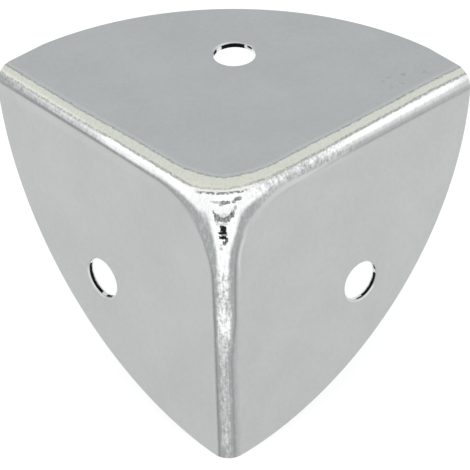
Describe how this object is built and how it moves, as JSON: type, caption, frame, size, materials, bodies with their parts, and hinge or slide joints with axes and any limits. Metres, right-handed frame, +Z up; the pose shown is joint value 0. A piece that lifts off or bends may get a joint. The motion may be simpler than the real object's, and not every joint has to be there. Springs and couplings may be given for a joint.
{
  "type": "metal corner protector",
  "caption": "Pressed sheet metal corner guard with flat faces, rounded folds, arc-shaped free edges and a screw hole in each face; it wraps the corner of a case or box.",
  "frame": {"origin": "the sharp corner of the case that the part is fitted to, where the planes of its three seats meet", "axes": "as fitted on a case's upper front corner: +Z up out of the top face, the case at +X, +Y and -Z; the top folds run along +X and +Y and the upright fold along -Z"},
  "size_m": [0.03, 0.03, 0.028],
  "materials": {
    "plated_steel": "satin nickel or zinc plating over pressed steel sheet, brighter along the folds and the corner"
  },
  "bodies": {
    "root": {"corner_protector": "plated_steel"}
  },
  "joints": []
}
